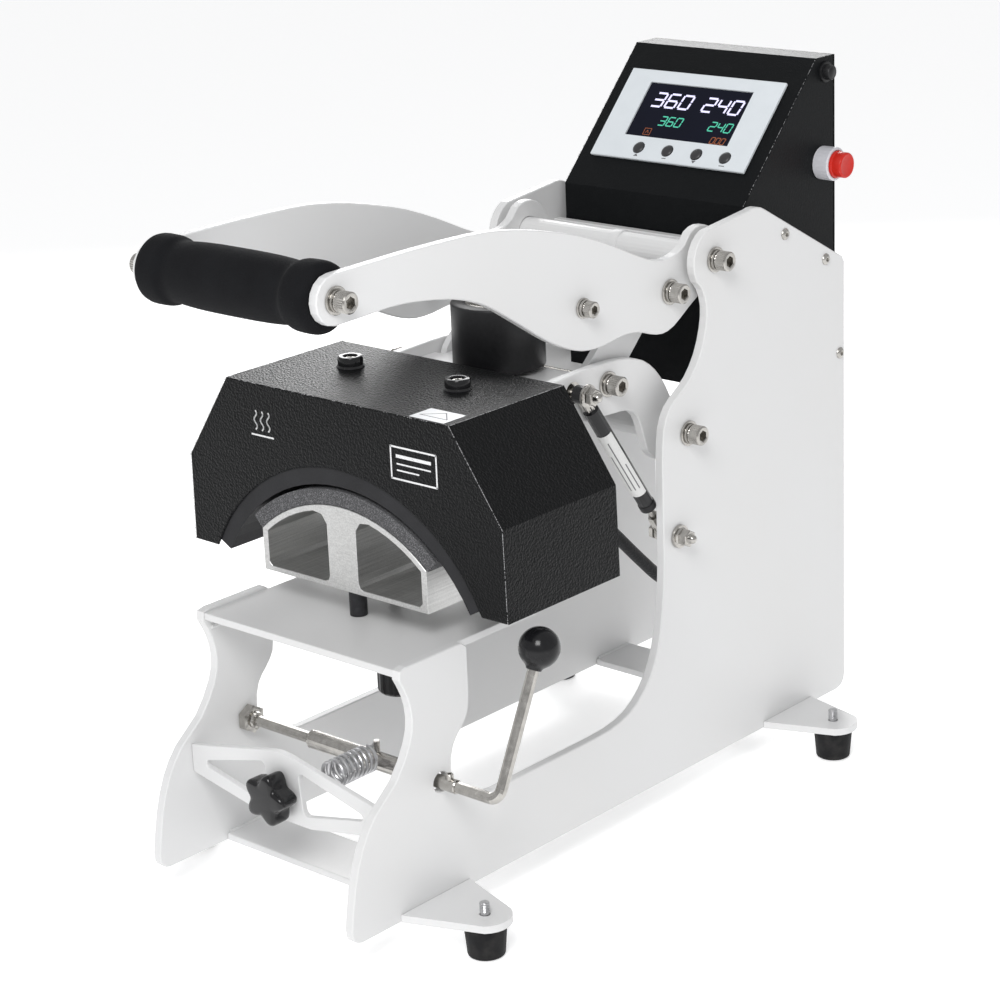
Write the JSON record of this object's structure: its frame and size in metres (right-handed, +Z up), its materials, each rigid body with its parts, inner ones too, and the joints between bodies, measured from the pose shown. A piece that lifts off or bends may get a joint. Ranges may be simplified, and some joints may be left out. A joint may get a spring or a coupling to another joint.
{
  "type": "clamshell cap heat press",
  "caption": "Clamshell heat press for caps: arched lower platen and heater, toggle handle with foam grip, sloped control box on a two-plate frame.",
  "frame": {"origin": "Middle of the outer box, on the floor under the rubber feet.", "axes": "+X to the press's right seen from the front, +Y from the grip to the control box, +Z up."},
  "size_m": [0.3639, 0.6402, 0.5925],
  "materials": {
    "white_powder_coat": "fine white powder coat",
    "black_wrinkle": "black fine-texture paint",
    "black_plastic": "moulded black plastic",
    "foam_rubber": "black foam rubber",
    "rubber": "black rubber",
    "aluminium": "extruded, fine die lines",
    "chrome": "bright plated steel",
    "zinc": "zinc plated steel",
    "dark_casting": "dark coated casting",
    "silicone_pad": "speckled dark grey silicone sponge",
    "white_label": "white overlay",
    "display_glass": "dark display window",
    "circuit_board": "green circuit board",
    "grey_plastic": "light grey plastic",
    "red_plastic": "red plastic",
    "braided_sleeve": "black braided sleeve"
  },
  "bodies": {
    "frame": {"side_plate_left": "white_powder_coat", "side_plate_right": "white_powder_coat", "platform": "white_powder_coat", "front_crossbar": "white_powder_coat", "rear_crossbar": "white_powder_coat", "tower_crossbar": "white_powder_coat", "truss_bracket": "white_powder_coat", "foot_plate_front_left": "white_powder_coat", "foot_plate_front_right": "white_powder_coat", "foot_plate_rear_left": "white_powder_coat", "foot_plate_rear_right": "white_powder_coat", "foot_front_left": "rubber", "foot_front_right": "rubber", "foot_rear_left": "rubber", "foot_rear_right": "rubber", "guide_post": "black_plastic", "upper_pivot_shaft": "chrome", "lower_pivot_shaft": "chrome", "lower_platen": "aluminium", "platen_pad": "silicone_pad", "control_box": "black_wrinkle", "box_back_cover": "black_wrinkle", "power_inlet": "black_plastic", "display_bezel": "white_label", "display": "display_glass", "controller_board": "circuit_board", "stop_collar": "grey_plastic", "heater_sleeve": "braided_sleeve", "clamp_spring": "zinc"},
    "lower_arm": {"lower_arm_left": "white_powder_coat", "lower_arm_right": "white_powder_coat", "lower_pivot_tube": "white_powder_coat", "toggle_pin_lower": "chrome", "cross_channel": "white_powder_coat"},
    "upper_platen": {"hood": "black_wrinkle", "heater_platen": "dark_casting", "heater_carrier": "dark_casting"},
    "pressure_knob": {"pressure_knob": "black_plastic"},
    "handle": {"handle_arm_left": "white_powder_coat", "handle_arm_right": "white_powder_coat", "upper_pivot_tube": "white_powder_coat", "toggle_pin_upper": "chrome", "tie_rod": "chrome", "grip_rod": "chrome", "foam_grip": "foam_rubber"},
    "toggle_links": {"toggle_link_left": "white_powder_coat", "toggle_link_right": "white_powder_coat"},
    "gas_rod_left": {"gas_rod_left": "chrome"},
    "gas_rod_right": {"gas_rod_right": "chrome"},
    "gas_cylinder_left": {"gas_cylinder_left": "black_plastic"},
    "gas_cylinder_right": {"gas_cylinder_right": "black_plastic"},
    "clamp_lever": {"clamp_shaft": "chrome", "ball_knob": "black_plastic"},
    "star_knob": {"star_knob": "black_plastic"},
    "lock_knob": {"lock_knob": "black_plastic"},
    "button_1": {"button_1": "black_plastic"},
    "button_2": {"button_2": "black_plastic"},
    "button_3": {"button_3": "black_plastic"},
    "button_4": {"button_4": "black_plastic"},
    "stop_button": {"stop_button": "red_plastic"}
  },
  "joints": [
    {"name": "lower_arm_hinge", "type": "hinge", "parent": "frame", "child": "lower_arm", "pos_m": [-0.002, 0.0899, 0.3195], "axis": [-1, 0, 0], "range_deg": [-0.4, 25.44], "deforming": ["heater_sleeve"]},
    {"name": "handle_hinge", "type": "hinge", "parent": "frame", "child": "handle", "pos_m": [-0.002, 0.1289, 0.4555], "axis": [-1, 0, 0], "range_deg": [-0.95, 60.01]},
    {"name": "toggle_link_hinge", "type": "hinge", "parent": "handle", "child": "toggle_links", "pos_m": [-0.002, 0.0874, 0.4357], "axis": [-1, 0, 0], "range_deg": [-81.1, 1.3]},
    {"name": "gas_rod_hinge_left", "type": "hinge", "parent": "frame", "child": "gas_rod_left", "pos_m": [-0.0966, 0.0749, 0.2355], "axis": [-1, 0, 0], "range_deg": [-0.3, 16.1]},
    {"name": "gas_cylinder_hinge_left", "type": "hinge", "parent": "lower_arm", "child": "gas_cylinder_left", "pos_m": [-0.0966, -0.0231, 0.3765], "axis": [-1, 0, 0], "range_deg": [-9.45, 0.2]},
    {"name": "gas_rod_hinge_right", "type": "hinge", "parent": "frame", "child": "gas_rod_right", "pos_m": [0.0926, 0.0749, 0.2355], "axis": [-1, 0, 0], "range_deg": [-0.3, 16.1]},
    {"name": "gas_cylinder_hinge_right", "type": "hinge", "parent": "lower_arm", "child": "gas_cylinder_right", "pos_m": [0.0926, -0.0231, 0.3765], "axis": [-1, 0, 0], "range_deg": [-9.45, 0.2]},
    {"name": "pressure_knob_turn", "type": "hinge", "parent": "lower_arm", "child": "pressure_knob", "pos_m": [-0.002, -0.0121, 0.3845], "axis": [0, 0, 1], "range_deg": [0, 720]},
    {"name": "upper_platen_slide", "type": "slide", "parent": "lower_arm", "child": "upper_platen", "axis": [0, 0, 1], "range_m": [0, 0.004]},
    {"name": "clamp_lever_hinge", "type": "hinge", "parent": "frame", "child": "clamp_lever", "pos_m": [-0.002, -0.2181, 0.1231], "axis": [1, 0, 0], "range_deg": [0, 75], "deforming": ["clamp_spring"]},
    {"name": "star_knob_turn", "type": "hinge", "parent": "frame", "child": "star_knob", "pos_m": [-0.002, -0.2891, 0.1075], "axis": [0, -1, 0], "range_deg": [0, 720]},
    {"name": "lock_knob_turn", "type": "hinge", "parent": "frame", "child": "lock_knob", "pos_m": [-0.002, -0.1451, 0.1475], "axis": [0, 0, 1], "range_deg": [0, 360]},
    {"name": "button_1_press", "type": "slide", "parent": "frame", "child": "button_1", "axis": [0, 0.7188, -0.6952], "range_m": [0, 0.0008], "stiffness_N_per_m": 300},
    {"name": "button_2_press", "type": "slide", "parent": "frame", "child": "button_2", "axis": [0, 0.7188, -0.6952], "range_m": [0, 0.0008], "stiffness_N_per_m": 300},
    {"name": "button_3_press", "type": "slide", "parent": "frame", "child": "button_3", "axis": [0, 0.7188, -0.6952], "range_m": [0, 0.0008], "stiffness_N_per_m": 300},
    {"name": "button_4_press", "type": "slide", "parent": "frame", "child": "button_4", "axis": [0, 0.7188, -0.6952], "range_m": [0, 0.0008], "stiffness_N_per_m": 300},
    {"name": "stop_button_press", "type": "slide", "parent": "frame", "child": "stop_button", "axis": [-1, 0, 0], "range_m": [0, 0.004], "stiffness_N_per_m": 400}
  ],
  "couplings": [
    {"joint": "handle_hinge", "follows": "lower_arm_hinge", "ratio": 2.3585},
    {"joint": "toggle_link_hinge", "follows": "lower_arm_hinge", "ratio": -3.185},
    {"joint": "gas_rod_hinge_left", "follows": "lower_arm_hinge", "ratio": 0.6299},
    {"joint": "gas_cylinder_hinge_left", "follows": "lower_arm_hinge", "ratio": -0.3701},
    {"joint": "gas_rod_hinge_right", "follows": "lower_arm_hinge", "ratio": 0.6299},
    {"joint": "gas_cylinder_hinge_right", "follows": "lower_arm_hinge", "ratio": -0.3701},
    {"joint": "pressure_knob_turn", "follows": "upper_platen_slide", "rad_per_m": 3141.6}
  ]
}
